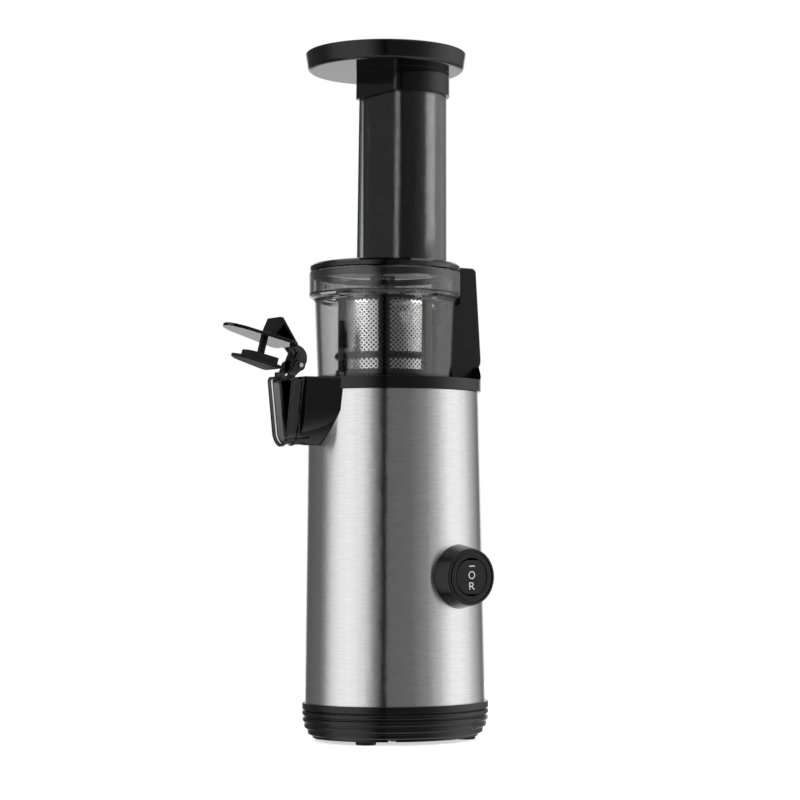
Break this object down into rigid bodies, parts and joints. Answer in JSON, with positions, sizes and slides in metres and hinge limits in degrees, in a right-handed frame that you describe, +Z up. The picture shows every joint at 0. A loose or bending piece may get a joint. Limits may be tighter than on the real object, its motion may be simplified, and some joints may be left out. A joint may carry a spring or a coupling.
{
  "type": "cold press juicer",
  "caption": "Slim upright slow juicer: steel motor body, clear bowl with strainer and auger, D-shaped feed chute with tray and pusher, capped juice spout, rocker switch.",
  "frame": {"origin": "on the plane the four feet stand on, below the centre of the bowl, auger and drive shaft", "axes": "+Z up along the drive axis; the juice spout faces -Y, the handle is at +Y, the switch is on the +X side and the pulp chute on the -X side"},
  "size_m": [0.1235, 0.174, 0.4024],
  "materials": {
    "gloss_black": "glossy moulded black plastic",
    "satin_black": "satin moulded black plastic",
    "smoky_clear": "smoky see-through plastic, polished",
    "brushed_body": "stainless steel brushed around the body",
    "strainer_steel": "thin perforated stainless steel",
    "turned_steel": "turned and hardened steel",
    "can_steel": "zinc-plated pressed steel",
    "magnet": "sintered ferrite",
    "copper": "enamelled copper",
    "bronze": "sintered bronze",
    "carbon": "pressed carbon",
    "gear_white": "natural acetal",
    "rubber_black": "soft black rubber",
    "board_green": "circuit board",
    "board_black": "component bodies"
  },
  "bodies": {
    "motor_base": {"base_pan": "gloss_black", "rubber_feet": "rubber_black", "tie_rods": "turned_steel", "body_shell": "brushed_body", "top_deck": "satin_black", "cord_gland": "rubber_black", "switch_bezel": "gloss_black", "switch_housing": "satin_black", "switch_terminals": "copper", "rocker_pin": "turned_steel", "motor_can": "can_steel", "motor_end_cap": "satin_black", "carbon_brushes": "carbon", "motor_magnets": "magnet", "motor_bearings": "bronze", "motor_screws": "turned_steel", "motor_dampers": "rubber_black", "gear_pins": "turned_steel", "gearbox_housing": "satin_black", "gearbox_cover": "gear_white", "cover_screws": "turned_steel", "drive_bearings": "turned_steel", "shaft_seal": "rubber_black", "control_board": "board_green", "board_parts": "board_black"},
    "rotor": {"rotor_shaft": "turned_steel", "armature": "can_steel", "windings": "copper", "commutator": "copper", "cooling_fan": "satin_black", "motor_pinion": "gear_white"},
    "first_gear": {"first_gear": "gear_white"},
    "second_gear": {"second_gear": "gear_white"},
    "output_drive": {"output_gear": "gear_white", "drive_shaft": "turned_steel"},
    "rocker": {"switch_rocker": "gloss_black"},
    "bowl_unit": {"bowl_base": "gloss_black", "pulp_chute": "gloss_black", "bowl": "smoky_clear", "bowl_seal": "rubber_black", "rear_column": "satin_black", "column_screws": "turned_steel", "spout_nozzle": "smoky_clear", "strainer_frame": "smoky_clear", "strainer_sheet": "strainer_steel", "cap_pin": "turned_steel"},
    "auger": {"auger": "satin_black"},
    "lid_unit": {"lid": "smoky_clear", "lid_seal": "rubber_black", "feed_chute": "smoky_clear", "food_tray": "gloss_black"},
    "pusher": {"pusher_body": "gloss_black", "pusher_head": "gloss_black"},
    "spout_cap": {"cap_plate": "smoky_clear", "cap_lever": "satin_black", "cap_stem": "satin_black", "cap_stopper": "rubber_black"}
  },
  "joints": [
    {"name": "rotor_spin", "type": "hinge", "parent": "motor_base", "child": "rotor", "pos_m": [0, 0, 0.084], "axis": [0, 0, 1], "continuous": true},
    {"name": "first_gear_spin", "type": "hinge", "parent": "motor_base", "child": "first_gear", "pos_m": [-0.01324, 0.01856, 0.132], "axis": [0, 0, 1], "continuous": true},
    {"name": "second_gear_spin", "type": "hinge", "parent": "motor_base", "child": "second_gear", "pos_m": [0.008, 0.02683, 0.142], "axis": [0, 0, 1], "continuous": true},
    {"name": "output_spin", "type": "hinge", "parent": "motor_base", "child": "output_drive", "pos_m": [0, 0, 0.155], "axis": [0, 0, 1], "continuous": true},
    {"name": "rocker_tilt", "type": "hinge", "parent": "motor_base", "child": "rocker", "pos_m": [0.053, 0.021, 0.094], "axis": [0, 1, 0], "range_deg": [-10, 10]},
    {"name": "bowl_lift", "type": "slide", "parent": "motor_base", "child": "bowl_unit", "axis": [0, 0, 1], "range_m": [0, 0.09]},
    {"name": "auger_spin", "type": "hinge", "parent": "bowl_unit", "child": "auger", "pos_m": [0, 0, 0.23], "axis": [0, 0, 1], "continuous": true},
    {"name": "lid_twist", "type": "hinge", "parent": "bowl_unit", "child": "lid_unit", "pos_m": [0, 0, 0.27], "axis": [0, 0, 1], "range_deg": [-30, 0]},
    {"name": "pusher_slide", "type": "slide", "parent": "lid_unit", "child": "pusher", "axis": [0, 0, 1], "range_m": [0, 0.13]},
    {"name": "cap_hinge", "type": "hinge", "parent": "bowl_unit", "child": "spout_cap", "pos_m": [0, -0.0619, 0.213], "axis": [1, 0, 0], "range_deg": [-20, 104]}
  ],
  "couplings": [
    {"joint": "first_gear_spin", "follows": "rotor_spin", "ratio": -0.26667},
    {"joint": "second_gear_spin", "follows": "rotor_spin", "ratio": 0.071111},
    {"joint": "output_spin", "follows": "rotor_spin", "ratio": -0.017778},
    {"joint": "auger_spin", "follows": "rotor_spin", "ratio": -0.017778}
  ]
}
